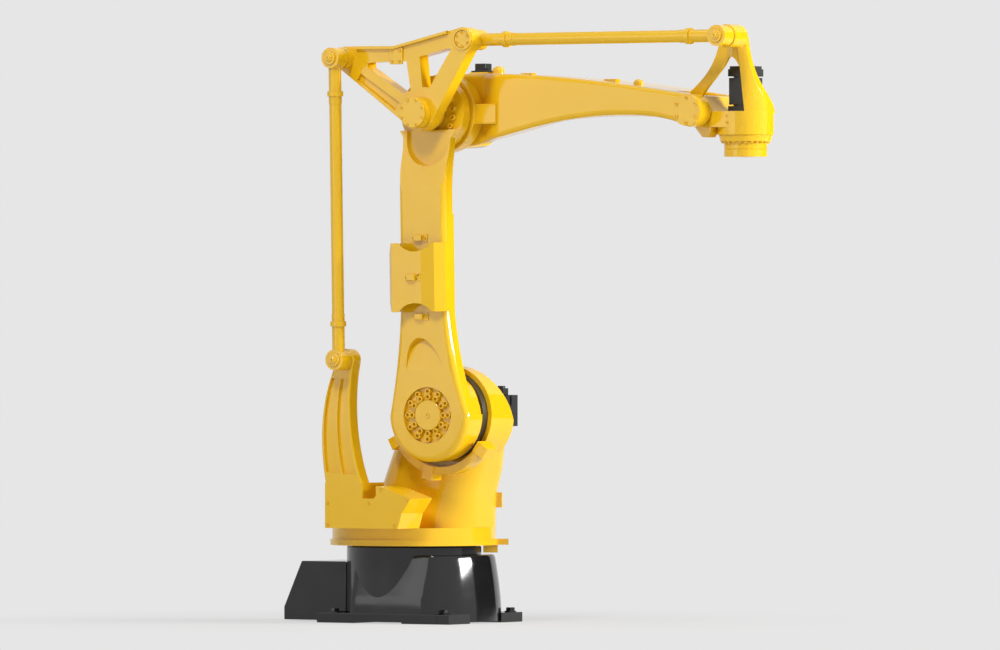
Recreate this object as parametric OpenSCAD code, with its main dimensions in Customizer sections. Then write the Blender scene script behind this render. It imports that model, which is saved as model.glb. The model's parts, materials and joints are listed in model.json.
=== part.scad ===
// Four-axis palletising robot arm with a levelling linkage, on a cast pedestal.
// Frame: origin on the floor under the slewing axis, +X along the arm, +Z up, the linkage on the -Y side.

/* [Pedestal] */
// Reach of the foot plate in front of the slewing axis
foot_front = 357; // [330:1:420]
// Reach of the foot plate behind the slewing axis
foot_back = 301; // [290:1:340]
// Half width of the foot plate
foot_half = 287; // [270:1:320]
// Thickness of the foot plate
foot_t = 42; // [30:1:60]
// Relief under the plate between the foot pads
pad_relief = 6; // [3:0.5:12]
// Radius of the anchor bolt holes
anchor_r = 13; // [9:0.5:18]
// Distance of the anchor bolts from the foot's side edges
anchor_side = 47; // [40:1:70]
// Distance of the front anchor bolts from the foot's front edge
anchor_front = 30; // [26:1:40]
// Distance of the rear anchor bolts from the foot's back edge
anchor_back = 61; // [40:1:80]
// Radius of the pedestal drum
drum_r = 285; // [275:1:300]
// Height of the pedestal drum above the floor
drum_top = 320; // [290:1:360]
// Length of the connector box behind the pedestal
plugbox_l = 256; // [180:1:300]
// Half width of the connector box
plugbox_half = 150; // [110:1:190]
// Height of the connector box
plugbox_h = 254; // [200:1:280]

/* [Turntable] */
// Radius of the turntable flange
flange_r = 353; // [346:1:370]
// Thickness of the turntable flange
flange_t = 25; // [18:1:32]
// Radius of the column's round foot
column_r = 344; // [325:1:345]
// Height of the column's round foot
column_foot_h = 50; // [35:1:70]
// Direction of the slewing stop lug, degrees from +X
stop_lug_a = 33; // [0:1:60]

/* [Shoulder] */
// Shoulder axis in front of the slewing axis
shoulder_x = 300; // [280:1:320]
// Height of the shoulder axis
shoulder_z = 872; // [820:1:920]
// Radius of the column's shoulder head
head_r = 205; // [198:1:215]
// Side of the drive motors' square bodies
motor_side = 137; // [110:1:150]
// Length of the shoulder motor
motor_l = 200; // [140:1:240]

/* [Lower arm] */
// Height of the elbow axis above the shoulder axis
lower_arm_h = 1257; // [1150:1:1350]
// Offset of the elbow axis behind the shoulder axis at rest
lower_arm_back = 20; // [0:1:40]
// Radius of the lower arm's shoulder end
arm_foot_r = 195; // [185:1:200]
// Radius of the lower arm's elbow end
arm_top_r = 155; // [150:1:160]
// Half width of the lower arm's waist
arm_waist = 112; // [100:1:125]
// How far the waist stands behind the line of the arm's axes
waist_back = 20; // [0:1:30]
// Thickness of the lower arm
arm_t = 140; // [120:1:160]
// Rounding of the lower arm's long edges
arm_round = 25; // [12:1:30]
// Depth that the elbow end is cut back on its outer side
elbow_cut = 70; // [50:1:80]
// How far the dress cover stands out from the lower arm
dress_proud = 58; // [40:1:60]

/* [Linkage] */
// Rear pivots behind the arm axes
link_back = 362; // [340:1:380]
// Rear pivots above the arm axes
link_up = 230; // [210:1:250]
// Front pivots ahead of the arm axes
link_ahead = 220; // [200:1:235]
// Front pivots above the arm axes
link_rise = 302; // [285:1:320]
// Radius of the rod tubes
rod_r = 25.5; // [22:0.5:27]
// Radius of the rod eyes
eye_r = 43; // [40:0.5:46]
// Thickness of the rod eyes
eye_t = 73; // [64:1:76]
// Radius of the linkage pins
pin_r = 20; // [16:0.5:22]

/* [Upper arm] */
// Length of the upper arm, elbow axis to wrist axis
upper_arm_l = 1187; // [1050:1:1300]
// Half width of the upper arm across the fork
fork_half = 205; // [195:1:215]
// Half width of the fork's slot
slot_half = 122; // [118:1:130]
// Depth of the upper arm at the elbow, above and below the axis
root_r = 170; // [160:1:172]
// Radius of the fork's tips
tip_r = 68; // [64:1:74]

/* [Wrist] */
// Radius of the wrist housing
wrist_r = 117; // [105:1:117]
// Tool axis in front of the wrist axis
tool_ahead = 160; // [145:1:175]
// Depth of the tool face below the wrist axis
tool_drop = 190; // [180:1:230]
// Radius of the tool flange
tool_r = 89; // [80:1:95]
// Side of the tool axis motor
wrist_motor_side = 106; // [90:1:110]
// Pitch circle of the tool bolts
tool_pcd = 125; // [100:1:140]
// Radius of the tool bolt holes
tool_hole_r = 5.25; // [4:0.25:7]
// Radius of the tool flange's pilot bore
pilot_r = 40; // [30:0.5:45]

/* [Hidden] */
$fn = 72;

casting_yellow = "#e8b93e";
pedestal_black = "#3c3c3a";
motor_black = "#1c1c1c";
steel_grey = "#8a8a86";

// Running clearance between pieces that turn on each other
run = 0.3;
// Clearance between pieces that pass each other
pass = 5;
eps = 1;
steps = 14;

// Heights of the slewing parts
flange_z = drum_top + 5;
flange_top = flange_z + flange_t;
foot_top = flange_top + column_foot_h;

// Arm axes in the XZ plane at rest
elbow_x = shoulder_x - lower_arm_back;
elbow_z = shoulder_z + lower_arm_h;
wrist_x = elbow_x + upper_arm_l;
tool_x = wrist_x + tool_ahead;
tool_z = elbow_z - tool_drop;
horn = [shoulder_x - link_back, shoulder_z + link_up];
tri_rear = [elbow_x - link_back, elbow_z + link_up];
tri_front = [elbow_x + link_ahead, elbow_z + link_rise];
wrist_top = [wrist_x + link_ahead, elbow_z + link_rise];
elbow = [elbow_x, elbow_z];
shoulder = [shoulder_x, shoulder_z];
wrist = [wrist_x, elbow_z];

// Layers across the arm, from the fork out to the rear rod
root_half = 150;
arm_in = -(fork_half + 17);
arm_out = arm_in - arm_t;
elbow_face = arm_out + elbow_cut;
head_in = -12;
head_out = arm_in + 37;
top_eye_in = -(fork_half + 57);
top_eye_out = top_eye_in - eye_t;
bar_in = top_eye_out - run;
bar_out = bar_in - 68;
rear_boss_out = bar_out - 38;
rear_eye_in = rear_boss_out - 3;
rear_eye_out = rear_eye_in - eye_t;
hub_out = rear_boss_out - 7;
boss_r = 48;
hub_r = 66;

function polar(c, r, a) = [c[0] + r * cos(a), c[1] + r * sin(a)];
function arc(c, r, from, to, n) = [for (i = [0:n]) polar(c, r, from + (to - from) * i / n)];
function mix(a, b, t) = a * (1 - t) + b * t;
function ease(t) = t * t * (3 - 2 * t);
function bezier(p, n) = [for (i = [0:n]) let (t = i / n, s = 1 - t)
    p[0] * s * s * s + 3 * p[1] * t * s * s + 3 * p[2] * t * t * s + p[3] * t * t * t];
function unit(v) = v / max(norm(v), 0.000001);
// Inward mitred normal of a counter-clockwise outline at one of its points
function normal_at(p, i) = let (n = len(p),
    a = unit(p[(i + 1) % n] - p[i]), b = unit(p[i] - p[(i + n - 1) % n]),
    na = [-a[1], a[0]], nb = [-b[1], b[0]], m = unit(na + nb)) m / max(m * na, 0.5);
// Counter-clockwise outline moved inwards by d along its mitred normals
function inset(p, d) = [for (i = [0:len(p) - 1]) p[i] + d * normal_at(p, i)];

// Profile in the XZ plane, extruded from y0 to y1
module slab(points, y0, y1) {
    translate([0, y1, 0]) rotate([90, 0, 0]) linear_extrude(y1 - y0) polygon(points);
}

// Round bar along Y about a point of the XZ plane
module round_y(c, r, y0, y1) {
    translate([c[0], y0, c[1]]) rotate([-90, 0, 0]) cylinder(h = y1 - y0, r = r);
}

// Box from its two corners
module block(low, high) {
    translate(low) cube(high - low);
}

// Cast plate: a counter-clockwise XZ outline from y0 to y1, its rims rounded by r; lean slopes it along Z
module cast_plate(points, y0, y1, r, lean = 0, tip = 0) {
    turns = 4;
    rings = concat(
        [for (k = [0:turns]) [r * (1 - sin(90 * k / turns)), y0 + r * (1 - cos(90 * k / turns))]],
        [for (k = [0:turns]) [r * (1 - cos(90 * k / turns)), y1 - r * (1 - sin(90 * k / turns))]]);
    skin([for (q = rings) [for (p = inset(points, q[0])) [p[0], q[1] + lean * p[1], p[1]]]], tip);
}

// Triangles that close a ring of n points, in rows across it from the point at tip
function cap(n, tip) = [for (k = [0:ceil(n / 2) - 1]) let (a = (tip + k) % n, b = (tip + k + 1) % n,
    c = (tip - k - 1 + 2 * n) % n, d = (tip - k + 2 * n) % n)
    each concat(b == c ? [] : [[a, b, c]], a == d || c == a ? [] : [[a, c, d]])];

// Closed skin over rings of as many points each
module skin(rings, tip = 0) {
    n = len(rings[0]);
    last = (len(rings) - 1) * n;
    polyhedron([for (q = rings) each q], concat(
        [for (t = cap(n, tip)) [t[2], t[1], t[0]]],
        [for (k = [0:len(rings) - 2]) for (i = [0:n - 1])
            let (a = k * n + i, b = k * n + (i + 1) % n) each [[a, b, b + n], [a, b + n, a + n]]],
        [for (t = cap(n, tip)) [last + t[0], last + t[1], last + t[2]]]));
}

// Rounded rectangle at height z, as a ring of points
function round_box(x0, x1, y0, y1, r, z, n = 8) =
    let (corners = [[x1 - r, y0 + r, -90], [x1 - r, y1 - r, 0], [x0 + r, y1 - r, 90], [x0 + r, y0 + r, 180]])
    [for (q = corners) for (p = arc(q, r, q[2], q[2] + 90, n)) [p[0], p[1], z]];

// Pedestal: foot plate on four pads, sloped front shell and round drum, one iron casting
pad_half = 122;
pad_step = 60;
relief_in = 80;
shell_back = 141;
shell_top = drum_top - 35;
shell_front = foot_front - pad_step;
module pedestal() {
    plate = [[-foot_back, -foot_half], [foot_front, -foot_half], [foot_front, -pad_half],
        [shell_front, -pad_half], [shell_front, pad_half], [foot_front, pad_half], [foot_front, foot_half],
        [-foot_back, foot_half]];
    // Height share, setback of the front, half width
    levels = [[1, 12, foot_half - 48], [0.25, 0, foot_half - 3], [0, 0, foot_half - 2]];
    color(pedestal_black) difference() {
        union() {
            linear_extrude(foot_t) polygon(plate);
            skin([for (q = levels) round_box(-shell_back, shell_front - q[1], -q[2], q[2], 60,
                mix(foot_t - eps, shell_top, q[0]))]);
            translate([0, 0, foot_t - eps]) cylinder(h = drum_top - foot_t + eps, r = drum_r);
        }
        for (side = [-1, 1]) translate([0, side * foot_half, 0])
            block([-pad_half, -relief_in, -eps], [pad_half, relief_in, pad_relief]);
        for (x = [anchor_back - foot_back, foot_front - anchor_front], side = [-1, 1])
            translate([x, side * (foot_half - anchor_side), -eps])
                cylinder(h = foot_t + 2 * eps, r = anchor_r);
    }
}

// Connector box behind the pedestal, its back sloping to the floor
plug_back = -foot_back - plugbox_l;
plug_front = -sqrt(drum_r * drum_r - plugbox_half * plugbox_half) + 6;
plug_slope = [plug_back + 89, plug_back];
plug_sill = 60;
module plug_box() {
    color(pedestal_black) difference() {
        slab([[plug_back, pad_relief], [-foot_back, pad_relief], [-foot_back, foot_t], [plug_front, foot_t],
            [plug_front, plugbox_h], [plug_slope[0], plugbox_h], [plug_slope[1], plug_sill]],
            -plugbox_half, plugbox_half);
        cylinder(h = drum_top, r = drum_r + run);
    }
}

// Socket panel screwed to the box's sloping back
module plug_panel() {
    top = [plug_slope[0], plugbox_h];
    low = [plug_slope[1], plug_sill];
    out = 7 * unit([low[1] - top[1], top[0] - low[0]]);
    a = mix(top, low, 0.12);
    b = mix(top, low, 0.88);
    color(motor_black) slab([a, a + out, b + out, b], 30 - plugbox_half, plugbox_half - 30);
}

// Slewing ring between the pedestal and the turntable
module slew_bearing() {
    color(steel_grey) translate([0, 0, drum_top]) difference() {
        cylinder(h = flange_z - drum_top - run, r = drum_r - 24);
        translate([0, 0, -eps]) cylinder(h = flange_z - drum_top + 2 * eps, r = drum_r - 80);
    }
}

// Turntable flange with its slewing stop lug
module turntable() {
    lug_r = flange_r + 43;
    color(casting_yellow) {
        translate([0, 0, flange_z]) cylinder(h = flange_t, r = flange_r);
        rotate([0, 0, stop_lug_a]) {
            block([flange_r - 60, -45, flange_z], [lug_r, 45, flange_top]);
            block([drum_r + pass, -30, shell_top + pass + 2], [flange_r - 2, 30, flange_z + eps]);
        }
    }
}

// Column: round foot, body leaning to the shoulder, round shoulder head and the bracket's seat
seat_y = rear_boss_out + 165;
seat_x = [-110, 120];
stop_h = 58;
seat_gap = 37;
guard_r = arm_foot_r + 22;
seat_top = shoulder_z - guard_r - stop_h - seat_gap;
motor_seat = 61;
motor_rise = 16;
// Far side of the shoulder head, sloped away from the motor: pairs of Y and height from the axis
head_slope = [[head_in + eps, -28], [head_in + eps, head_r + eps], [head_in - 112, head_r + eps]];
// Direction of the lifting lug, degrees from +X
lug_a = 26;
module column() {
    // Height, back, front, near side, far side, corner radius
    levels = [
        [shoulder_z + 60, shoulder_x - 130, shoulder_x + 130, head_out, -62, 55],
        [shoulder_z, shoulder_x - 235, shoulder_x + head_r - 20, head_out, -10, 80],
        [shoulder_z - 79, shoulder_x - 292, shoulder_x + head_r - 35, head_out, 45, 90],
        [mix(foot_top, shoulder_z, 0.51), -67, mix(column_r, shoulder_x + head_r, 0.3), head_out, 160, 120],
        [mix(foot_top, shoulder_z, 0.3), -115, column_r + 1, head_out, 205, 140],
        [mix(foot_top, shoulder_z, 0.15), -150, column_r - 4, head_out, 215, 150],
        [foot_top - eps, -180, column_r - 6, head_out, 215, 150]];
    color(casting_yellow) union() {
        translate([0, 0, flange_top]) cylinder(h = column_foot_h, r = column_r);
        skin([for (q = levels) round_box(q[1], q[2], q[3], q[4], q[5], q[0])]);
        difference() {
            round_y(shoulder, head_r, head_out, head_in);
            translate([0, 0, shoulder_z]) rotate([90, 0, 90])
                linear_extrude(2 * shoulder_x) polygon(head_slope);
        }
        round_y(shoulder, motor_side * 0.72, head_in - eps, motor_seat);
        block([seat_x[0], seat_y, foot_top - eps], [seat_x[1], head_out + 40, seat_top]);
        rotate([0, 0, lug_a])
            block([column_r - 110, -30, foot_top + 82], [column_r + 30, 30, foot_top + 145]);
    }
}

// Guard under the lower arm's foot, with the three blocks that stop its swing
guard_out = arm_in - 40;
module lean_stops() {
    color(casting_yellow) difference() {
        union() {
            slab(concat(arc(shoulder, guard_r + 32, 205, 330, 24), arc(shoulder, guard_r, 330, 205, 24)),
                guard_out, head_out);
            for (a = [207, 256, 324]) translate([shoulder_x, guard_out - 6, shoulder_z]) rotate([0, -a, 0])
                translate([guard_r, 0, -24]) cube([stop_h, head_out - guard_out + 6, 48]);
        }
        round_y(shoulder, guard_r, guard_out - 10, head_out + eps);
    }
}

// Shoulder reducer between the column head and the lower arm
module shoulder_reducer() {
    color(steel_grey) round_y(shoulder, arm_foot_r - 9, arm_in + run, head_out);
}

// Square servo motor along Y from a seat
module servo(c, seat, length, side) {
    h = side / 2;
    collar = 22;
    cap = 48;
    block([c[0] - h, seat, c[1] - h], [c[0] + h, seat + collar, c[1] + h]);
    round_y(c, h - 2, seat + collar - eps, seat + length - cap + eps);
    block([c[0] - h + 6, seat + collar + 10, c[1] - h + 6],
        [c[0] + h - 6, seat + length - cap - 8, c[1] + h - 6]);
    block([c[0] - h + 3, seat + length - cap, c[1] - h + 3], [c[0] + h - 3, seat + length, c[1] + h - 3]);
}

// Shoulder motor on the back of the column head
module shoulder_motor() {
    color(motor_black) servo(shoulder + [0, motor_rise], motor_seat, motor_l - 25, motor_side);
}

// Connector housing on a motor's end cap
module motor_plug(c, y0, side, height) {
    block([c[0] - side / 2, y0, c[1]], [c[0] + side / 2, y0 + side, c[1] + height - 10]);
    translate([c[0], y0 + side / 2, c[1] + height - 10 - eps]) cylinder(h = 10 + eps, r = side / 2 - 5);
}

// Plug on top of the shoulder motor
module shoulder_plug() {
    color(motor_black) motor_plug([shoulder_x, shoulder_z + motor_rise + motor_side / 2 - 3],
        motor_seat + motor_l - 70, 42, 38);
}

// Link bracket: bolted box beside the column with the curved horn that carries the rear rod
bracket_in = seat_y;
bracket_out = rear_boss_out;
horn_in = bracket_out + 65;
horn_low = [foot_top + 190, -157, 25];
function horn_side(t, left) = left
    ? bezier([[horn_low[1], horn_low[0]], [horn_low[1] - 38, mix(horn_low[0], horn[1], 0.4)],
        [horn_low[1] - 16, mix(horn_low[0], horn[1], 0.7)], horn + [-44, -14]], steps)[t]
    : bezier([[horn_low[2], horn_low[0]], [horn_low[2] - 62, mix(horn_low[0], horn[1], 0.3)],
        [horn_low[2] - 76, mix(horn_low[0], horn[1], 0.68)], horn + [44, -14]], steps)[t];
module link_bracket() {
    low = foot_top;
    box = [[horn_low[1], low], [205, low], [224, low + 64], [270, low + 126], [118, low + 177],
        [96, low + 177], [96, low + 136], [85, low + 125], [30, low + 125], [30, horn_low[0]],
        [horn_low[1], horn_low[0]]];
    outline = concat([[horn_low[1], horn_low[0] - 40], [horn_low[2], horn_low[0] - 40]],
        [for (t = [0:steps - 1]) horn_side(t, false)], arc(horn, 46, -18, 198, 16),
        [for (t = [steps - 1:-1:0]) horn_side(t, true)]);
    color(casting_yellow) difference() {
        union() {
            slab(box, bracket_out, bracket_in);
            cast_plate(outline, bracket_out, horn_in, 8, tip = 0);
        }
        for (side = [0.08, 0.54]) slab(concat(
            [for (t = [1:steps - 2]) mix(horn_side(t, true), horn_side(t, false), side)],
            [for (t = [steps - 2:-1:1]) mix(horn_side(t, true), horn_side(t, false), side + 0.38)]),
            bracket_out - eps, bracket_out + 12);
    }
}

// Pin with a round head; it stands on the face at seat and passes through a rod eye
module link_pin(c, seat, reach) {
    dir = sign(reach - seat);
    round_y(c, pin_r, min(seat, reach), max(seat, reach));
    round_y(c, pin_r + 8, min(reach, reach - dir * 8), max(reach, reach - dir * 8));
}

// Pin that carries the rear rod on the horn
module horn_pin() {
    color(casting_yellow) link_pin(horn, bracket_out, rear_eye_out - 8 - run);
}

// Lower arm: its own frame has the shoulder at the origin and Z along the arm
arm_l = norm([lower_arm_back, lower_arm_h]);
arm_lean = atan2(lower_arm_back, lower_arm_h);
arm_top = [0, arm_l];
recess_r = 117;
recess_d = 18;
waist_in = arm_out + 72;
elbow_drop = hub_r + pass;
scoop_r = 104;
pocket_low = 185;
pocket_tilt = 12;
module on_lower_arm() {
    translate([shoulder_x, 0, shoulder_z]) rotate([0, -arm_lean, 0]) children();
}
// Edge of the lower arm at a height, from the foot's side to the waist and up to the elbow's neck
foot_reach = 560;
neck_reach = 330;
function arm_edge(z, side) = let (waist = side * arm_waist - waist_back, neck = side * 118)
    z < foot_reach ? mix(waist, side * arm_foot_r, pow(1 - z / foot_reach, 2))
    : mix(waist, neck, ease(max(1 - (arm_l - z) / neck_reach, 0)));
module lower_arm() {
    sides = [for (i = [1:22]) arm_l * i / 24];
    outline = concat(arc([0, 0], arm_foot_r, 180, 360, 24), [for (z = sides) [arm_edge(z, 1), z]],
        arc(arm_top, arm_top_r, -36, 216, 28), [for (i = [21:-1:0]) [arm_edge(sides[i], -1), sides[i]]]);
    scoop = concat([[arm_top_r, arm_l], [-arm_top_r, arm_l], [-scoop_r, arm_l - elbow_drop]],
        arc([0, arm_l - 118], scoop_r, 180, 360, 18), [[scoop_r, arm_l - elbow_drop]]);
    // Outer face of the elbow end, thinned where the link triangle's bars sweep past it
    thinned = [[arm_out - eps, arm_l - 330], [bar_in + pass, arm_l - 150],
        [bar_in + pass, arm_l + arm_top_r + eps], [arm_out - eps, arm_l + arm_top_r + eps]];
    color(casting_yellow) on_lower_arm() difference() {
        cast_plate(outline, arm_out, arm_in, arm_round, tip = 12);
        block([-arm_top_r - eps, arm_out - 2 * eps, arm_l - elbow_drop],
            [arm_top_r + eps, elbow_face, arm_l + arm_top_r + 2 * eps]);
        slab(scoop, arm_out - eps, arm_out + 50);
        round_y([0, 0], recess_r, arm_out - eps, arm_out + recess_d);
        // Arched pocket whose floor runs out downwards
        translate([0, arm_out, pocket_low]) rotate([-pocket_tilt, 0, 0])
            slab(bezier([[-100, 5], [-105, 185], [25, 175], [92, -10]], steps), -60, 0);
        translate([-arm_foot_r, 0, 0]) rotate([90, 0, 90]) linear_extrude(2 * arm_foot_r) polygon(thinned);
        // Hollow of the back between the two thick round ends
        difference() {
            block([-arm_foot_r - eps, waist_in, eps], [arm_foot_r + eps, arm_in + eps, arm_l - eps]);
            round_y([0, 0], arm_foot_r - 17, waist_in - eps, arm_in + 2 * eps);
            round_y(arm_top, arm_top_r - 6, waist_in - eps, arm_in + 2 * eps);
        }
    }
}

// Raised hub in the lower arm's bolted recess
module shoulder_hub() {
    color(casting_yellow) on_lower_arm() round_y([0, 0], recess_r * 0.54, arm_out + 2, arm_out + recess_d);
}

// Dress cover: bent sheet over the cables on the lower arm's outer face, its ends scooped
dress_z = [430, 717];
dress_t = 6;
module dress_cover() {
    front = arm_out - dress_proud;
    left = arm_edge(dress_z[0], -1) - 21;
    right = arm_edge(dress_z[0], 1) + run + dress_t;
    outer = [[left, arm_out + 30], [left, front + 26], [left + 26, front], [10, front], [70, front + 16],
        [right, arm_out - 6], [right, arm_out + 30]];
    // The sheet closes on the arm's sides at its two long edges
    inner = [[arm_edge(dress_z[0], -1) - run, arm_out + 31], [left + dress_t, front + 30],
        [left + 30, front + dress_t], [9, front + dress_t], [67, front + 21], [right - dress_t, arm_out - 2],
        [right - dress_t, arm_out + 31]];
    mid = (dress_z[0] + dress_z[1]) / 2;
    span = (dress_z[1] - dress_z[0]) / 2;
    color(casting_yellow) on_lower_arm() difference() {
        translate([0, 0, dress_z[0]]) linear_extrude(2 * span) difference() {
            polygon(outer);
            polygon(inner);
        }
        for (s = [-1, 1]) slab([[left - eps, mid + s * (span + eps)], [left - eps, mid + s * (span - 44)],
            [left + 19, mid + s * (span + eps)]], front - eps, arm_out + 32);
        for (s = [-1, 1]) translate([-20, 0, mid + s * (span + 34)])
            rotate([90, 0, 0]) linear_extrude(-front + 10) scale([1.25, 1]) circle(r = 70);
    }
}

// Cable clips: two on the lower arm, one on the dress cover
module clip(z, y) {
    block([-58, y - 5, z - 15], [14, y, z + 15]);
    block([-46, y - 19, z - 12], [-8, y - 5 + eps, z + 12]);
}
module cable_clips() {
    color(casting_yellow) on_lower_arm() {
        clip(dress_z[0] - 20, arm_out);
        clip(dress_z[1] + 20, arm_out);
        clip((dress_z[0] + dress_z[1]) / 2, arm_out - dress_proud);
    }
}

// Flat cover over the hollow of the lower arm's back
module rear_cover() {
    color(casting_yellow) on_lower_arm() 
        block([-waist_back - 86, waist_in, 350], [86, waist_in + 22, arm_l - 420]);
}

// Stub on the elbow that the link triangle turns on
stub_r = 45;
module elbow_stub() {
    color(steel_grey) round_y(elbow, stub_r, rear_boss_out + run, elbow_face);
}

// Link rods: tube between two forged ends, each with a pin eye; Z runs from one pin to the other
neck_l = 140;
collar_l = 20;
socket_l = 192;
module rod_ends(length) {
    for (q = [[0, 1], [length, -1]]) translate([0, 0, q[0]]) difference() {
        union() {
            round_y([0, 0], eye_r, 0, eye_t);
            translate([0, eye_t / 2, 0]) rotate([q[1] < 0 ? 180 : 0, 0, 0]) {
                translate([0, 0, eye_r - 8]) cylinder(h = neck_l - eye_r + 8, r = rod_r + 1);
                translate([0, 0, neck_l - eps]) cylinder(h = collar_l + eps, r = rod_r + 8);
                translate([0, 0, neck_l + collar_l - eps])
                    cylinder(h = socket_l - neck_l - collar_l + eps, r = rod_r + 2);
            }
        }
        round_y([0, 0], pin_r + run, -eps, eye_t + eps);
    }
}
module rod_tube(length) {
    translate([0, eye_t / 2, socket_l]) cylinder(h = length - 2 * socket_l, r = rod_r);
}
module on_rear_rod() {
    translate([horn[0], rear_eye_out, horn[1]]) rotate([0, -arm_lean, 0]) children();
}
module on_top_rod() {
    translate([tri_front[0], top_eye_out, tri_front[1]]) rotate([0, 90, 0]) children();
}
module rear_rod() {
    color(casting_yellow) on_rear_rod() rod_tube(arm_l);
}
module rear_rod_eyes() {
    color(casting_yellow) on_rear_rod() rod_ends(arm_l);
}
module top_rod() {
    color(casting_yellow) on_top_rod() rod_tube(upper_arm_l);
}
module top_rod_eyes() {
    color(casting_yellow) on_top_rod() rod_ends(upper_arm_l);
}

// Link triangle: cast frame of four bars with webs let in, turning on the elbow stub
bar_bend = [-113, link_up + boss_r];
module link_triangle() {
    rear = [-link_back, link_up];
    front = [link_ahead, link_rise];
    outline = concat(arc(rear, boss_r + 2, 90, 236, 12), arc([0, 0], hub_r + 12, 215, 325, 12),
        arc(front, boss_r + 2, -30, 108, 12), [bar_bend]);
    window_a = [[-250, link_up - 38], [-72, 78], [-36, 92], [-56, link_up - 16], [-76, link_up - 14],
        [-250, link_up - 20]];
    // Groove of the rear bar: along the bar and across it
    along = unit(rear);
    across = [-along[1], along[0]];
    groove = [for (q = [[100, 12], [100, 52], [330, 44], [330, 12]]) along * q[0] + across * q[1]];
    window_b = [[22, 106], [58, 104], [164, link_rise - 40], [150, link_rise - 37], [8, link_up + 2]];
    color(casting_yellow) translate([elbow_x, 0, elbow_z]) difference() {
        union() {
            cast_plate(outline, bar_out, bar_in, 3, tip = 6);
            round_y(rear, boss_r - 3, rear_boss_out, bar_in - 20);
            round_y(front, boss_r - 3, bar_out - 7, bar_in - 20);
            round_y([0, 0], hub_r, rear_boss_out, elbow_face - pass);
        }
        for (w = [window_a, window_b]) slab(w, bar_out - eps, bar_in + eps);
        slab(groove, bar_out - eps, bar_out + 14);
        round_y([0, 0], stub_r + run, rear_boss_out - eps, elbow_face);
        round_y(front, boss_r - 10, bar_out - 7 - eps, bar_out + 8);
    }
}

// Clamp plate over the top bar's bend
module triangle_clamp() {
    color(casting_yellow) translate([elbow_x, 0, elbow_z])
        block([-135, bar_out - 8, link_up - 28], [-72, bar_out, link_up + 42]);
}

// Covers of the triangle's hub and front pivot
module triangle_caps() {
    color(casting_yellow) {
        round_y(elbow, hub_r - 3, hub_out, rear_boss_out);
        round_y(tri_front, boss_r - 10 - run, bar_out - 2, bar_out + 8);
    }
}

// Pins of the triangle: the rear rod's upper pin and the top rod's rear pin
module triangle_pins() {
    color(casting_yellow) {
        link_pin(tri_rear, rear_boss_out, rear_eye_out - 8 - run);
        link_pin(tri_front, bar_in, top_eye_in + 8 + run);
    }
}

// Upper arm: tapered beam from the round elbow end to the fork that holds the wrist
root_l = root_r - 4;
ramp_l = 80;
// The far side stays narrow further out than the near one
far_l = 480;
far_ramp = 220;
// Centre of the elbow end's round above the axis
root_rise = 23;
slot_l = 100;
wrist_pin_r = 30;
fitting_z = root_r + 8;
belly_z = -26;
function arm_crown() = bezier([[0, root_r], [430, root_r + 4], [upper_arm_l - 390, 128],
    [upper_arm_l, tip_r + 6]], 18);
function arm_belly() = concat(
    bezier([[56, 58 - root_r], [140, 88 - root_r], [340, belly_z], [upper_arm_l * 0.7, belly_z]], 16),
    [for (i = [1:8]) bezier([[upper_arm_l * 0.7, belly_z], [upper_arm_l * 0.82, belly_z],
        [upper_arm_l * 0.9, belly_z - 8], [upper_arm_l, -tip_r]], 8)[i]]);
// Plan of what is cut away on one side of the elbow end, up to where the ramp meets the fork's side
function root_cut(start, ramp) = [[-root_r - 10, root_half], [start, root_half],
    [start + ramp, fork_half + eps], [-root_r - 10, fork_half + eps]];
module upper_arm() {
    crown = arm_crown();
    belly = arm_belly();
    outline = concat(arc([0, root_rise], root_r - root_rise, 96, 290, 20), belly,
        arc([upper_arm_l, 0], tip_r, -80, 84, 14), [for (i = [17:-1:0]) crown[i]]);
    color(casting_yellow) translate([elbow_x, 0, elbow_z]) difference() {
        union() {
            difference() {
                cast_plate(outline, -fork_half, fork_half, 24, tip = 10);
                translate([0, 0, -root_r - 20]) linear_extrude(2 * root_r + 40) {
                    polygon([for (q = root_cut(root_l, ramp_l)) [q[0], -q[1]]]);
                    polygon(root_cut(far_l, far_ramp));
                }
            }
            block([root_r + 2, arm_in + 7, -48], [root_r + 52, -root_half + eps, 43]);
            block([-45, 62, root_r - 40], [45, 142, fitting_z]);
            translate([77, 100, root_r - 25]) cylinder(h = 58, r = 26);
            for (q = [[285, 176], [696, 148]]) block([q[0], -58, q[1] - 40], [q[0] + 57, -24, q[1]]);
            translate([842, -20, 90]) cylinder(h = 58, r = 22);
        }
        block([upper_arm_l - slot_l, -slot_half, -200], [upper_arm_l + 200, slot_half, 200]);
        round_y([upper_arm_l, 0], wrist_pin_r + run, -fork_half - eps, fork_half + eps);
    }
}

// Round flange of the upper arm against the lower arm
module elbow_flange() {
    color(casting_yellow) round_y(elbow, root_r - 6, arm_in + run, -root_half);
}

// Elbow motor on the far side of the upper arm
module elbow_motor() {
    color(motor_black) servo(elbow, root_half, motor_l, motor_side);
}

// Plug on the upper arm's top
module elbow_plug() {
    color(motor_black) translate([elbow_x, 102, elbow_z + fitting_z]) {
        block([-40, -35, 0], [40, 35, 6]);
        block([-26, -26, 6 - eps], [26, 26, 36]);
    }
}

// Covers over the two ends of the wrist pin
cover_t = 3;
module fork_covers() {
    color(casting_yellow) {
        round_y(wrist, tip_r - 4, -fork_half - cover_t, -fork_half);
        round_y(wrist, tip_r - 4, fork_half, fork_half + cover_t);
    }
}

// Wrist pin through both tines of the fork
module wrist_pin() {
    color(steel_grey) round_y(wrist, wrist_pin_r, -fork_half, fork_half);
}

// Wrist frame: housing of the tool axis, lug in the fork and the windowed frame up to the top rod's pin
lug_half = slot_half - pass - 1;
lug_r = 64;
lug_top = -3;
lug_low = -68;
frame_t = 50;
frame_lean = -0.25;
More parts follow.
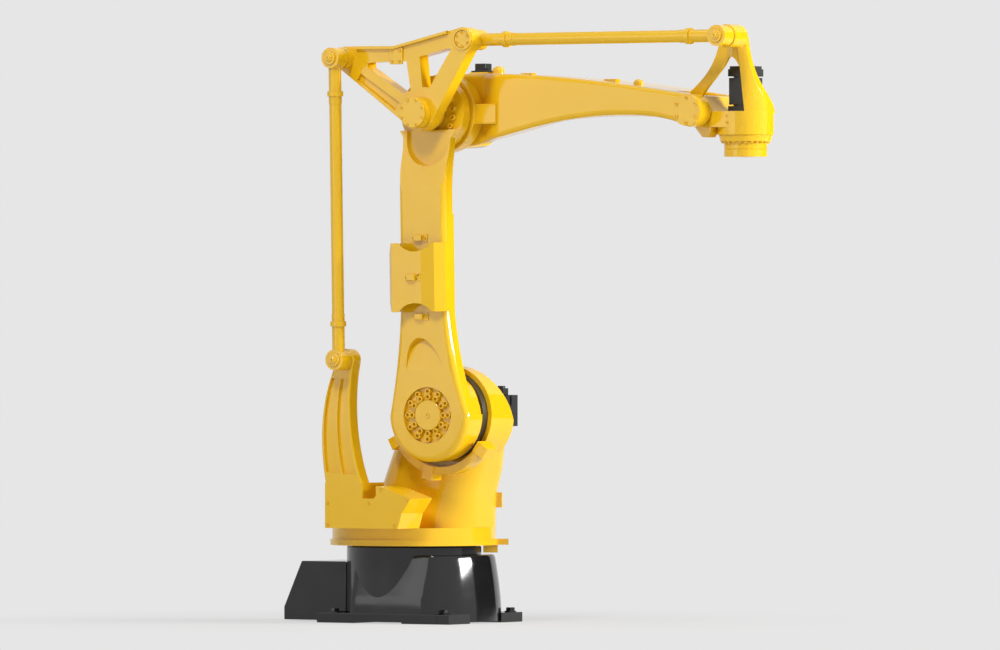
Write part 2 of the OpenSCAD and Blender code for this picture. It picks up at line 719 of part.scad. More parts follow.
// Height at which the leaning frame comes out past the fork's tips
frame_clear = 110;
frame_out = -lug_half - frame_lean * frame_clear;
wrist_boss_r = 45;
module wrist_drum() {
    translate([tool_ahead, 0, -100]) cylinder(h = 100 + lug_top, r = wrist_r);
}
function wrist_lug() = concat(arc([0, 0], lug_r, 70, 270, 16),
    [[40, lug_low], [tool_ahead, lug_low], [tool_ahead, lug_top], [70, lug_top], [44, 20]]);
module wrist_housing() {
    stop = [for (q = [[-24, 10], [60, 10], [60, -18], [45, -42], [20, -42]]) [q[0], lug_low + q[1]]];
    color(casting_yellow) translate([wrist_x, 0, elbow_z]) difference() {
        union() {
            wrist_drum();
            slab(wrist_lug(), -lug_half, lug_half);
            slab(stop, 4 - lug_half, 64 - lug_half);
        }
        round_y([0, 0], wrist_pin_r + run, -lug_half - eps, lug_half + eps);
    }
}

// Windowed frame that stands on the housing and reaches up to the top rod's pin
module wrist_frame() {
    boss = [link_ahead, link_rise];
    right = tool_ahead + wrist_r - 8;
    inner = tool_ahead + wrist_motor_side / 2 + eps;
    edge = inner + 22;
    corner_r = 56;
    strut = bezier([boss + [-40, -11], boss + [-115, -67], [95, 165], [-34, 76]], 12);
    frame = concat([[-50, 25], [50, -30], [inner - 16, -30], [inner - 16, lug_top], [right, lug_top],
        [right, 60], [right - 6, 230]], arc(boss, wrist_boss_r - 5, 4, 150, 12), strut);
    window = concat([[lug_r + 8, lug_top - 7]], arc([0, 0], lug_r + 8, 0, 48, 6), [[100, 122], [158, 197]],
        arc([186, 196], 26, 150, 20, 6), arc([edge - corner_r, lug_top + corner_r], corner_r, 0, -84, 8),
        [[edge - corner_r, lug_top - 7]]);
    color(casting_yellow) translate([wrist_x, 0, elbow_z]) difference() {
        union() {
            cast_plate(frame, frame_out, frame_out + frame_t, 8, frame_lean, len(frame) - 1);
            round_y(boss, wrist_boss_r, top_eye_in + 4, top_eye_in + 112);
        }
        slab(window, -lug_half - 200, 0);
        // Room for the drum's top and for the motor
        block([lug_r - 20, -lug_half - 100, lug_low], [inner, 0, lug_top]);
        block([0, -wrist_motor_side / 2 - pass, lug_top - eps], [inner + pass, 0, link_rise - 70]);
        slab(wrist_lug(), -lug_half - pass, lug_half);
    }
}

// Pin of the top rod's front eye
module wrist_top_pin() {
    color(casting_yellow) link_pin(wrist_top, top_eye_in + 4, top_eye_out - 8 - run);
}

// Tool axis motor standing on the housing
module wrist_motor() {
    h = wrist_motor_side / 2;
    low = elbow_z + lug_top;
    high = elbow_z + 183;
    color(motor_black) translate([tool_x, 0, 0]) {
        block([-h, -h, low], [h, h, low + 22]);
        translate([0, 0, low + 22 - eps]) cylinder(h = 10, r = h - 3);
        block([3 - h, 3 - h, low + 28], [h - 3, h - 3, high - 48]);
        translate([0, 0, high - 48 - eps]) cylinder(h = 8, r = h - 3);
        block([-h, -h, high - 42], [h, h, high - 12]);
        block([5 - h, 5 - h, high - 12 - eps], [h - 5, h - 5, high]);
    }
}

// Plug on the back of the tool axis motor
module wrist_motor_plug() {
    h = wrist_motor_side / 2;
    color(motor_black) block([tool_x - 22, h, elbow_z + 145], [tool_x + 22, h + 34, elbow_z + 168]);
}

// Bolted ring and neck under the wrist housing
module wrist_ring() {
    color(casting_yellow) translate([tool_x, 0, 0]) {
        translate([0, 0, elbow_z - 127]) cylinder(h = 27, r1 = wrist_r - 12, r2 = wrist_r - 6);
        translate([0, 0, tool_z + 31]) cylinder(h = tool_drop - 127 - 31 + eps, r = tool_r);
    }
}

// Tool flange: turning disc with bolt circle and pilot bore
module tool_flange() {
    color(casting_yellow) translate([tool_x, 0, tool_z]) difference() {
        cylinder(h = 31 - run, r = tool_r);
        translate([0, 0, -eps]) cylinder(h = 8 + eps, r = pilot_r);
        for (a = [0:60:300]) rotate([0, 0, a])
            translate([tool_pcd / 2, 0, -eps]) cylinder(h = 20, r = tool_hole_r);
    }
}

pedestal();
plug_box();
plug_panel();
slew_bearing();
turntable();
column();
lean_stops();
shoulder_reducer();
shoulder_motor();
shoulder_plug();
link_bracket();
horn_pin();
lower_arm();
shoulder_hub();
dress_cover();
cable_clips();
rear_cover();
elbow_stub();
rear_rod();
rear_rod_eyes();
link_triangle();
triangle_clamp();
triangle_caps();
triangle_pins();
top_rod();
top_rod_eyes();
upper_arm();
elbow_flange();
elbow_motor();
elbow_plug();
fork_covers();
wrist_pin();
wrist_housing();
wrist_frame();
wrist_top_pin();
wrist_motor();
wrist_motor_plug();
wrist_ring();
tool_flange();
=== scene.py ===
import json
import math

import bmesh
import bpy
import numpy as np
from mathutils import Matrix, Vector

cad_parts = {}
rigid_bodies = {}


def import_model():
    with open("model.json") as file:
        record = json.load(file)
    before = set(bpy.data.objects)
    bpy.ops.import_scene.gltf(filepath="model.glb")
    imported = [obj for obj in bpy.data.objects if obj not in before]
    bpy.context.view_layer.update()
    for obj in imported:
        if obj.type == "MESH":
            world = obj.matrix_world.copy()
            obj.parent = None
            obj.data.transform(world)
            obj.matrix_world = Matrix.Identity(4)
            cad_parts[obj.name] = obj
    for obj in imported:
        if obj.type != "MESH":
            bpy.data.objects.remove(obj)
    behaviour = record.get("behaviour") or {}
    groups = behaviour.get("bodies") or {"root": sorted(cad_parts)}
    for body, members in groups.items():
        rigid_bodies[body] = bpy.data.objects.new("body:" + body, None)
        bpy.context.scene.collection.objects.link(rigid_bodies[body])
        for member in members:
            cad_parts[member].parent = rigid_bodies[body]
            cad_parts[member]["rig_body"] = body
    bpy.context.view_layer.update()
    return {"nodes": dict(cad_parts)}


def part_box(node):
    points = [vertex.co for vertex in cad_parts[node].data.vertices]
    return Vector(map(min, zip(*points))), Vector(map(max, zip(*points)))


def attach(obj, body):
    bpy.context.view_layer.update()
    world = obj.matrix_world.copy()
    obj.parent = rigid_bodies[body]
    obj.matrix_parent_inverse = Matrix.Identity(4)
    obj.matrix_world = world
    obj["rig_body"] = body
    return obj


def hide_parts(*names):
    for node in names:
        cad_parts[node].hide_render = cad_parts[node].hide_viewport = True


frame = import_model()
scene = bpy.context.scene

# Studio: a painted floor that runs into a backdrop of the same pale grey, five soft lamps and a black flag.
# The camera, gloss and glass see that grey everywhere, and the floor keeps a soft shadow round the foot.
# The flag of felt stands behind on the right and keeps the grey out of the sides that face the right lamp.
pale_grey = "#e6e6e6"


def linear(colour):
    """sRGB hex to linear RGBA: a channel up to 0.04045 is divided by 12.92, and above that 0.055 is added,
    the sum is divided by 1.055 and the result is raised to 2.4."""
    c = np.array([int(colour[i:i + 2], 16) for i in (1, 3, 5)]) / 255
    return (*np.where(c <= 0.04045, c / 12.92, ((c + 0.055) / 1.055) ** 2.4).tolist(), 1.0)


def add(tree, kind, settings=None, **links):
    """Adds one node to a tree with its settings. A link names a socket, by number as in i0 or by its name
    with underscores for spaces, and gives it a value or another node's socket."""
    made = tree.nodes.new(kind)
    for key, value in (settings or {}).items():
        setattr(made, key, value)
    for key, value in links.items():
        numbered = key[0] == "i" and key[1:].isdigit()
        socket = made.inputs[int(key[1:]) if numbered else key.replace("_", " ")]
        if isinstance(value, bpy.types.NodeSocket):
            tree.links.new(value, socket)
        else:
            socket.default_value = value
    return made


def empty_tree(owner):
    """The node tree of a material or world, with nothing in it yet."""
    owner.use_nodes = True
    owner.node_tree.nodes.clear()
    return owner.node_tree


def eye_rays(tree):
    """1 for rays that show a picture, from the camera, gloss or glass, and 0 for light that only fills."""
    rays = add(tree, "ShaderNodeLightPath").outputs
    most = rays["Is Camera Ray"]
    for kind in ("Is Glossy Ray", "Is Transmission Ray"):
        most = add(tree, "ShaderNodeMath", {"operation": "MAXIMUM"}, i0=most, i1=rays[kind]).outputs[0]
    return most


def sheet(name, corners, material):
    """One four-sided face of the studio, on its own object."""
    mesh = bpy.data.meshes.new(name)
    mesh.from_pydata([tuple(c) for c in corners], [], [(0, 1, 2, 3)])
    mesh.materials.append(material)
    made = bpy.data.objects.new(name, mesh)
    scene.collection.objects.link(made)
    return made


world = bpy.data.worlds.new("studio")
scene.world = world
air = empty_tree(world)
backdrop = add(air, "ShaderNodeBackground", Color=linear(pale_grey), Strength=1.0)
fill = add(air, "ShaderNodeBackground", Color=linear("#f4f6fa"), Strength=0.12)
sky = add(air, "ShaderNodeMixShader", i0=eye_rays(air), i1=fill.outputs[0], i2=backdrop.outputs[0])
add(air, "ShaderNodeOutputWorld", Surface=sky.outputs[0])

# Floor paint, matt: shows the backdrop's grey, with a share of its own shading near the foot for the shadow
floor_half, shadow_full, shadow_gone, shadow_share = 60.0, 0.5, 2.4, 0.3
floor_paint = bpy.data.materials.new("pale studio floor paint")
tree = empty_tree(floor_paint)
place = add(tree, "ShaderNodeTexCoord").outputs["Object"]
away = add(tree, "ShaderNodeVectorMath", {"operation": "LENGTH"}, i0=place)
share = add(tree, "ShaderNodeMapRange", {"interpolation_type": "SMOOTHSTEP"}, Value=away.outputs["Value"],
            From_Min=shadow_full, From_Max=shadow_gone, To_Min=shadow_share, To_Max=0.0)
matt = add(tree, "ShaderNodeBsdfDiffuse", Color=linear(pale_grey))
plain = add(tree, "ShaderNodeEmission", Color=linear(pale_grey), Strength=1.0)
shown = add(tree, "ShaderNodeMixShader", i0=share.outputs[0], i1=plain.outputs[0], i2=matt.outputs[0])
both = add(tree, "ShaderNodeMixShader", i0=eye_rays(tree), i1=matt.outputs[0], i2=shown.outputs[0])
add(tree, "ShaderNodeOutputMaterial", Surface=both.outputs[0])
square = ((-1, -1, 0), (1, -1, 0), (1, 1, 0), (-1, 1, 0))
sheet("floor", np.array(square) * floor_half, floor_paint)

# Each lamp: its place, what it points at, its width and height in metres, and its watts
for name, at, target, size, power in (
    ("right_lamp", (13.7, 6.1, 4.5), (0.5, 0, 1.2), (7.0, 2.2), 3100),
    ("low_lamp", (12.0, -2.2, 0.3), (0.3, 0, 0.3), (12.0, 0.5), 260),
    ("front_lamp", (2.4, -9.6, 10.4), (0.5, 0, 1.3), (2.5, 2.5), 780),
    ("left_lamp", (-5.0, -13.0, 4.0), (0.4, 0, 1.2), (7.0, 7.0), 230),
    ("top_lamp", (1.0, -1.0, 6.5), (0.6, 0, 1.5), (4.0, 3.0), 80),
):
    lamp = bpy.data.lights.new(name, "AREA")
    lamp.shape = "RECTANGLE"
    lamp.size, lamp.size_y = size
    lamp.energy = power
    holder = bpy.data.objects.new(name, lamp)
    scene.collection.objects.link(holder)
    holder.visible_glossy = name != "low_lamp"
    holder.location = at
    holder.rotation_euler = (Vector(target) - holder.location).to_track_quat("-Z", "Y").to_euler()

# Black felt, matt: seen only in the gloss of the paint, as a dark field
flag_half, flag_height, flag_away = 5.0, 6.0, 11.0
felt = bpy.data.materials.new("black studio felt")
tree = empty_tree(felt)
dull = add(tree, "ShaderNodeBsdfDiffuse", Color=linear("#0a0a0a"))
add(tree, "ShaderNodeOutputMaterial", Surface=dull.outputs[0])
flag_foot = np.array((0.3, 0.0, 0.0)) + np.array((0.537, 0.843, 0.0)) * flag_away
flag_along = np.array((0.843, -0.537, 0.0)) * flag_half
flag_up = np.array((0.0, 0.0, flag_height))
flag_corners = [flag_foot - flag_along, flag_foot + flag_along,
                flag_foot + flag_along + flag_up, flag_foot - flag_along + flag_up]
flag = sheet("black_flag", flag_corners, felt)
flag.visible_camera = False

azimuth, distance, view_width, sensor = math.radians(32.5), 44.0, 4.2, 36.0
view_x, view_y, view_z = 0.3043, 0.1939, 1.247
camera = bpy.data.objects.new("camera", bpy.data.cameras.new("camera"))
scene.collection.objects.link(camera)
camera.location = (view_x + distance * math.sin(azimuth), view_y - distance * math.cos(azimuth), view_z)
camera.rotation_euler = (math.pi / 2, 0, azimuth)
camera.data.sensor_width = sensor
camera.data.lens = sensor * distance / view_width
camera.data.clip_end = 200.0
scene.camera = camera
scene.view_settings.view_transform = "Standard"


# Pedestal: one black-enamelled iron casting of foot plate, four pads, flared shell and round drum.
# The connector box is a casting of its own, bolted on behind.
# Four anchor bolts on washers hold the foot to the floor.
def paint(name, colour, shade, rough, peel_mm, lift):
    """A sprayed or moulded skin: two near shades in soft clouds, which also vary the gloss a little, over a
    bump of dimples peel_mm across."""
    cloud_mm = 120
    made = bpy.data.materials.new(name)
    tree = empty_tree(made)
    place = add(tree, "ShaderNodeTexCoord").outputs["Object"]
    cloud = add(tree, "ShaderNodeTexNoise", Vector=place, Scale=1000 / cloud_mm, Detail=3.0, Roughness=0.55)
    tint = add(tree, "ShaderNodeMix", {"data_type": "RGBA"}, i0=cloud.outputs["Fac"],
               i6=linear(colour), i7=linear(shade))
    gloss = add(tree, "ShaderNodeMapRange", Value=cloud.outputs["Fac"], From_Min=0.3, From_Max=0.7,
                To_Min=rough - 0.03, To_Max=rough + 0.04)
    peel = add(tree, "ShaderNodeTexNoise", Vector=place, Scale=1000 / peel_mm, Detail=1.0, Roughness=0.4)
    bump = add(tree, "ShaderNodeBump", Strength=lift, Distance=0.0004, Height=peel.outputs["Fac"])
    skin = add(tree, "ShaderNodeBsdfPrincipled", Base_Color=tint.outputs[2], Roughness=gloss.outputs[0],
               Normal=bump.outputs[0], IOR=1.5)
    add(tree, "ShaderNodeOutputMaterial", Surface=skin.outputs[0])
    return made


def soften(piece, edge_mm):
    """Smooth shading, broken at edges sharper than 32 degrees, which a bevel of edge_mm rounds. A shared
    normal comes from the larger faces, so that flat faces stay flat."""
    sharp = math.radians(32)
    mesh = piece.data
    mesh.polygons.foreach_set("use_smooth", np.ones(len(mesh.polygons), bool))
    mesh.set_sharp_from_angle(angle=sharp)
    if edge_mm:
        edge = piece.modifiers.new("rounded edges", "BEVEL")
        edge.width = edge_mm / 1000
        edge.segments = 3
        edge.limit_method = "ANGLE"
        edge.angle_limit = sharp
    flat = piece.modifiers.new("flat faces stay flat", "WEIGHTED_NORMAL")
    flat.keep_sharp = True
    flat.weight = 100


def fettled(node, finish, edge_mm):
    """A copy of a CAD piece in the material of its finish, whose slot is not used: doubles merged, flat
    faces joined to one and sharp edges rounded by edge_mm."""
    slot, material = finish
    source = frame["nodes"][node]
    mesh = bpy.data.meshes.new(node + "_finished")
    bm = bmesh.new()
    bm.from_mesh(source.data)
    bmesh.ops.remove_doubles(bm, verts=bm.verts, dist=2e-5)
    bmesh.ops.dissolve_limit(bm, angle_limit=math.radians(0.8), verts=bm.verts, edges=bm.edges)
    bm.to_mesh(mesh)
    bm.free()
    mesh.materials.append(material)
    piece = bpy.data.objects.new(node + "_finished", mesh)
    scene.collection.objects.link(piece)
    soften(piece, edge_mm)
    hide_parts(node)
    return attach(piece, source["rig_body"])


def put(name, shape, body, finish, edge_mm=0):
    """A new piece on a body from a shape, its array of points in metres and its array of quads. Rings of one
    point are merged to that point."""
    slot, material = finish
    points, quads = shape
    mesh = bpy.data.meshes.new(name)
    mesh.from_pydata(points.reshape(-1, 3).tolist(), [], quads.reshape(-1, 4).tolist())
    bm = bmesh.new()
    bm.from_mesh(mesh)
    bmesh.ops.remove_doubles(bm, verts=bm.verts, dist=3e-5)
    bm.to_mesh(mesh)
    bm.free()
    mesh.materials.append(material)
    piece = bpy.data.objects.new(name, mesh)
    scene.collection.objects.link(piece)
    soften(piece, edge_mm)
    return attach(piece, body)


def tube_quads(rings, sides):
    """Faces of a tube: each point of a ring, its neighbour and the same two on the next ring, the last point
    of a ring joined to its first."""
    k, i = np.meshgrid(np.arange(rings - 1), np.arange(sides), indexing="ij")
    j = (i + 1) % sides
    quads = np.stack([k * sides + i, k * sides + j, (k + 1) * sides + j, (k + 1) * sides + i], -1)
    return quads.reshape(-1, 4)


def turned(profile, centres, axis, sides, hexed=()):
    """Turned pieces: the profile's (radius, height) rows in metres, swept round an axis at each centre. Rows
    in hexed take a hexagon's radius instead: the row's radius over the cosine of the angle from the middle
    of the nearest flat."""
    profile, centres, axis = (np.asarray(a, float) for a in (profile, centres, axis))
    axis = axis / np.linalg.norm(axis)
    u = np.cross(axis, (0.0, 0.0, 1.0) if abs(axis[2]) < 0.9 else (1.0, 0.0, 0.0))
    u /= np.linalg.norm(u)
    v = np.cross(axis, u)
    turn = np.arange(sides) * 2 * np.pi / sides
    hexagon = 1 / np.cos((turn + np.pi / 6) % (np.pi / 3) - np.pi / 6)
    is_hexed = np.isin(np.arange(len(profile)), hexed)[:, None]
    radius = np.where(is_hexed, hexagon, 1.0) * profile[:, :1]
    ring = radius[..., None] * (np.cos(turn)[:, None] * u + np.sin(turn)[:, None] * v)
    points = centres[:, None, None, :] + ring + profile[:, 1][:, None, None] * axis
    starts = np.arange(len(centres))[:, None, None] * len(profile) * sides
    return points, (starts + tube_quads(len(profile), sides)).reshape(-1, 4)


def fasteners(name, kind, centres, axis, body, finish, sides=18):
    """One piece of like screws or bolts, from a profile with its hexagon rows, one at each centre."""
    rows, hexed = kind
    return put(name, turned(rows, centres, axis, sides, hexed), body, finish)


def hex_bolt(flats_mm, height_mm, washer_mm):
    """Profile of a hexagon bolt on its washer."""
    r, h, w = flats_mm / 2000, height_mm / 1000, washer_mm / 2000
    rows = [(0, -0.001), (w, -0.001), (w, 0.0035), (w * 0.96, 0.0045), (r * 1.02, 0.0045), (r, 0.0046),
            (r, h * 0.85), (r * 0.93, h), (0, h)]
    return rows, (5, 6)


def box_beam(top, bottom, near, far, lift, near_r, far_r, origin):
    """Beam between a top and a bottom line in X and Z, in mm from the origin. The section at each pair of
    points is four-sided, from near to far in Y, with its far lower corner raised by lift. Each corner is a
    quadratic Bezier curve over its radius."""
    count = len(top)
    near, far, lift = (np.broadcast_to(v, count) for v in (near, far, lift))
    span = top - bottom
    size = np.linalg.norm(span, axis=1)
    way = span / np.maximum(size, 1e-9)[:, None]
    corner = np.stack([np.stack([near, 0 * size], -1), np.stack([near, size], -1),
                       np.stack([far, size], -1), np.stack([far, np.minimum(lift, size)], -1)], 1)
    radius = np.minimum(np.array([near_r, near_r, far_r, far_r])[None], 0.42 * size[:, None])
    before = np.roll(corner, 1, 1) - corner
    after = np.roll(corner, -1, 1) - corner
    before *= (radius / np.maximum(np.linalg.norm(before, axis=2), 1e-9))[..., None]
    after *= (radius / np.maximum(np.linalg.norm(after, axis=2), 1e-9))[..., None]
    t = np.linspace(0, 1, 6)[None, None, :, None]
    ring = corner[:, :, None] + (1 - t) ** 2 * before[:, :, None] + t ** 2 * after[:, :, None]
    ring = ring.reshape(count, -1, 2)
    flat = bottom[:, None] + ring[..., 1:] * way[:, None]
    points = np.stack([flat[..., 0], ring[..., 0], flat[..., 1]], -1) / 1000 + np.asarray(origin)
    outwards = np.roll(tube_quads(count, ring.shape[1])[:, ::-1], 1, 1)
    return points, outwards


def capped(top, bottom, start=True, stop=True):
    """The two lines of a beam with its ends closed: both gain the same point, half way between them."""
    half = (top + bottom) / 2
    first = half[:1] if start else half[:0]
    last = half[-1:] if stop else half[:0]
    return np.concatenate([first, top, last]), np.concatenate([first, bottom, last])


def block(low, high, edge_r, origin):
    """Block between two corners: a beam of even section along X with rounded edges."""
    x = np.array([low[0], high[0]], float)
    top, bottom = (np.stack([x, [z, z]], -1) for z in (high[2], low[2]))
    return box_beam(*capped(top, bottom), low[1], high[1], 0, edge_r, edge_r, origin)


def flared(levels, back, power=24, count=240):
    """Closed tube round the Z axis, one ring a level of (height, half width, front radius) in mm. The radius
    at each angle is the smooth least of the distances to both sides, the back wall and a round front: the
    inverses are raised to a power and added, and the sum's root is inverted. Rings of one point close both
    ends."""
    z, half, front = np.asarray(levels, float).T[..., None]
    turn = np.linspace(0, 2 * np.pi, count, endpoint=False)
    sides = np.abs(np.sin(turn)) / half
    wall = np.maximum(-np.cos(turn), 0) / back
    radius = (sides ** power + wall ** power + (1 / front) ** power) ** (-1 / power)
    rings = np.stack([radius * np.cos(turn), radius * np.sin(turn), z + 0 * radius], -1)
    points = np.concatenate([rings[:1] * (0, 0, 1), rings, rings[-1:] * (0, 0, 1)]) / 1000
    return points, tube_quads(len(points), count)


def joined(*shapes):
    """Several shapes as one: their points stacked, each shape's quads moved on by the points before it."""
    points = [np.asarray(p).reshape(-1, 3) for p, _ in shapes]
    starts = np.cumsum([0] + [len(p) for p in points[:-1]])
    return np.concatenate(points), np.concatenate([q + n for (_, q), n in zip(shapes, starts)])


# Black gloss enamel: deep black with clear reflections of the lamps, their edges loosened by orange peel
black_enamel = ("black_enamel",
                paint("black gloss enamel on cast iron", "#161617", "#1e1e1f", 0.09, 3.0, 0.12))
fettled("plug_box", black_enamel, 4.0)

slew_foot = (0, 0, 0)
foot_back, foot_front, foot_half, foot_t, foot_edge = -301, 357, 287, 42, 3
foot_relief, pad_start, pad_inset = 6, 122, 1
plate_front = foot_front - 60
plate = block((foot_back, -foot_half, foot_relief), (plate_front, foot_half, foot_t), foot_edge, slew_foot)
pads = [block((x0, y0, 0), (x1, y1, foot_t - pad_inset), foot_edge, slew_foot)
        for x0, x1 in ((foot_back + pad_inset, -pad_start), (pad_start, foot_front))
        for y0, y1 in ((pad_inset - foot_half, -pad_start), (pad_start, foot_half - pad_inset))]
shell_back = 141
shell_levels = [(foot_relief, 285, 368), (60, 285, 367), (104, 284, 364), (118, 281, 362.5), (160, 270, 358),
                (200, 260, 352.6), (240, 249, 346.6), (273, 241, 341), (282, 238, 337), (285, 231, 330)]
shell = flared(shell_levels, shell_back)
drum_r, drum_low, drum_top, drum_cut = 0.283, 0.040, 0.320, 0.004
drum_rows = [(0, drum_low), (drum_r, drum_low), (drum_r, drum_top - drum_cut), (drum_r - drum_cut, drum_top),
             (0, drum_top)]
drum = turned(drum_rows, [slew_foot], (0, 0, 1), 96)
pedestal = put("pedestal_casting", joined(plate, *pads, shell, drum), "base", black_enamel)
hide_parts("pedestal")
anchors = [(x, y, foot_t / 1000) for x in (-0.240, 0.327) for y in (-0.240, 0.240)]
fasteners("anchor_bolts", hex_bolt(36, 19, 50), anchors, (0, 0, 1), "base", black_enamel, 24)


# Socket panel: black nylon, moulded in one piece and screwed to the connector box's sloping back.
# It carries three round sockets with coupling rings for the power, signal and air lines.
def cap_screw(head_mm, height_mm):
    """Profile of a socket-head screw: from under its seat, over a rounded rim and down a hexagon socket."""
    r, h, s = head_mm / 2000, height_mm / 1000, head_mm * 0.27 / 1000
    rows = [(0, -0.001), (r, -0.001), (r, h * 0.86), (r * 0.94, h * 0.97), (r * 0.86, h), (s * 1.12, h),
            (s, h * 0.9), (s, h * 0.35), (0, h * 0.3)]
    return rows, (6, 7)


# Moulded nylon, satin: near black, with broad dim highlights
satin_nylon = ("black_plastic", paint("black nylon, moulded satin", "#0e0e0f", "#151516", 0.42, 1.6, 0.4))
fettled("plug_panel", satin_nylon, 2.0)
panel_out, panel_up = np.array((-0.909, 0.0, 0.417)), np.array((0.417, 0, 0.909))
panel_face = np.array((-0.5125, 0.0, 0.157)) + 0.007 * panel_out
sockets = [panel_face + (0, y, 0) for y in (-0.072, 0.0, 0.072)]
socket_rows = [(0, -0.001), (0.027, -0.001), (0.027, 0.004), (0.024, 0.005), (0.024, 0.017), (0.0225, 0.019),
               (0.019, 0.019), (0.0185, 0.008), (0, 0.008)]
put("panel_sockets", turned(socket_rows, sockets, panel_out, 32), "base", satin_nylon)
panel_corners = [panel_face + (0, y, 0) + t * panel_up for y in (-0.108, 0.108) for t in (-0.068, 0.068)]
fasteners("panel_screws", cap_screw(9, 5), panel_corners, panel_out, "base", satin_nylon)

# Slewing ring, reducer faces, elbow stub and wrist pin: bearing steel, turned, hardened and ground.
# They are pressed or bolted into the castings that turn on them and show only in the gaps between.
# Ground steel under grease: a dark, brownish metal with soft reflections
grit_mm = 2
ground_steel = bpy.data.materials.new("bearing steel, ground and greased")
tree = empty_tree(ground_steel)
place = add(tree, "ShaderNodeTexCoord").outputs["Object"]
grit = add(tree, "ShaderNodeTexNoise", Vector=place, Scale=1000 / grit_mm, Detail=4.0)
tone = add(tree, "ShaderNodeMix", {"data_type": "RGBA"}, i0=grit.outputs["Fac"],
           i6=linear("#4b4740"), i7=linear("#5c574c"))
steel = add(tree, "ShaderNodeBsdfPrincipled", Base_Color=tone.outputs[2], Metallic=1.0, Roughness=0.45)
add(tree, "ShaderNodeOutputMaterial", Surface=steel.outputs[0])
for node in ("slew_bearing", "shoulder_reducer", "elbow_stub", "wrist_pin"):
    fettled(node, ("bearing_steel", ground_steel), 1.0)

# Turntable and column: two iron castings in yellow gloss enamel, bolted together, that slew on the ring.
# The guard with its three stop blocks is screwed to the column's head.
# Yellow gloss enamel: full yellow with clear reflections, their edges loosened by orange peel
yellow_enamel = ("yellow_enamel",
                 paint("yellow gloss enamel on castings", "#ecbb19", "#e7b610", 0.09, 3.0, 0.12))
for node, edge_mm in (("turntable", 3), ("column", 8), ("lean_stops", 4)):
    fettled(node, yellow_enamel, edge_mm)


# Shoulder motor: a square servo with a black aluminium body and a moulded end cap and plug.
# It is bolted to the far side of the column's head, and four screws hold its end cap.
def cap_corners(motor, x, z):
    """Places of a servo's four end-cap screws: a square round the motor's axis, on the cap's far face."""
    far_y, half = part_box(motor)[1][1], 0.055
    return [(x + dx, far_y, z + dz) for dx in (-half, half) for dz in (-half, half)]


for node in ("shoulder_motor", "shoulder_plug"):
    fettled(node, satin_nylon, 3.0)
fasteners("shoulder_motor_screws", cap_screw(9, 6), cap_corners("shoulder_motor", 0.300, 0.888), (0, 1, 0),
          "turret", satin_nylon)


# Link bracket: an iron box casting with a curved, channelled horn, bolted beside the column.
# Six small screws hold the box's cover.
# The horn's pin carries the rear rod, and a nut closes it.
def pin_nut(name, pin, x, z, body):
    """A round nut with a drilled stud on a pin's near end."""
    rows = [(0, -0.001), (0.017, -0.001), (0.017, 0.004), (0.0155, 0.0055), (0.011, 0.0055), (0.010, 0.009),
            (0.0085, 0.010), (0.004, 0.010), (0.0036, 0.006), (0, 0.006)]
    return put(name, turned(rows, [(x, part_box(pin)[0][1], z)], (0, -1, 0), 32), body, yellow_enamel)


fettled("link_bracket", yellow_enamel, 4.0)
fettled("horn_pin", yellow_enamel, 3.0)
cover_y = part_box("link_bracket")[0][1]
cover_screws = [(x, cover_y, z) for x, z in ((-0.143, 0.506), (0.064, 0.506), (-0.143, 0.414),
                                             (0.122, 0.563), (0.190, 0.414), (0.252, 0.522))]
fasteners("bracket_screws", cap_screw(13, 5), cover_screws, (0, -1, 0), "turret", yellow_enamel)
pin_nut("horn_pin_nut", "horn_pin", -0.062, 1.102, "turret")


# Lower arm: a flat iron casting, hollow behind, with a recess at the shoulder and a scoop at the elbow.
# Two rings of socket screws hold it to the shoulder reducer, and one ring closes the elbow's bearing.
# Six small screws hold the cover over its back.
def circle(centre, radius, count, first=0.0, plane=(0, 2)):
    """Places evenly round a circle: the centre plus radius times cosine and sine along two axes."""
    turn = math.radians(first) + np.arange(count) * 2 * np.pi / count
    at = np.tile(np.asarray(centre, float), (count, 1))
    at[:, plane[0]] += radius * np.cos(turn)
    at[:, plane[1]] += radius * np.sin(turn)
    return at


shoulder_x, shoulder_z = 0.300, 0.872
elbow_x, elbow_z = 0.280, 2.129
for node, edge_mm in (("lower_arm", 6), ("shoulder_hub", 3), ("rear_cover", 4)):
    fettled(node, yellow_enamel, edge_mm)
recess_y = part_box("lower_arm")[0][1] + 0.018
rings = np.concatenate([circle((shoulder_x, recess_y, shoulder_z), r, 12) for r in (0.0995, 0.0765)])
fasteners("shoulder_screws", cap_screw(26, 17), rings, (0, -1, 0), "lower_arm", yellow_enamel, 24)
hub_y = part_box("shoulder_hub")[0][1]
plug_rows = [(0, -0.001), (0.011, -0.001), (0.011, 0.003), (0.010, 0.004), (0.005, 0.004), (0.0046, 0.001),
             (0, 0.001)]
put("shoulder_hub_plug", turned(plug_rows, [(shoulder_x, hub_y, shoulder_z)], (0, -1, 0), 24),
    "lower_arm", yellow_enamel)
elbow_ring = circle((elbow_x, -0.292, elbow_z), 0.108, 18, 10)
fasteners("elbow_screws", cap_screw(24, 14), elbow_ring, (0, -1, 0), "lower_arm", yellow_enamel, 24)
back_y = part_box("rear_cover")[1][1]
back_screws = [(x, back_y, z) for z in (1.245, 1.465, 1.690) for x in (0.222, 0.352)]
fasteners("rear_cover_screws", cap_screw(12, 5), back_screws, (0, 1, 0), "lower_arm", yellow_enamel)

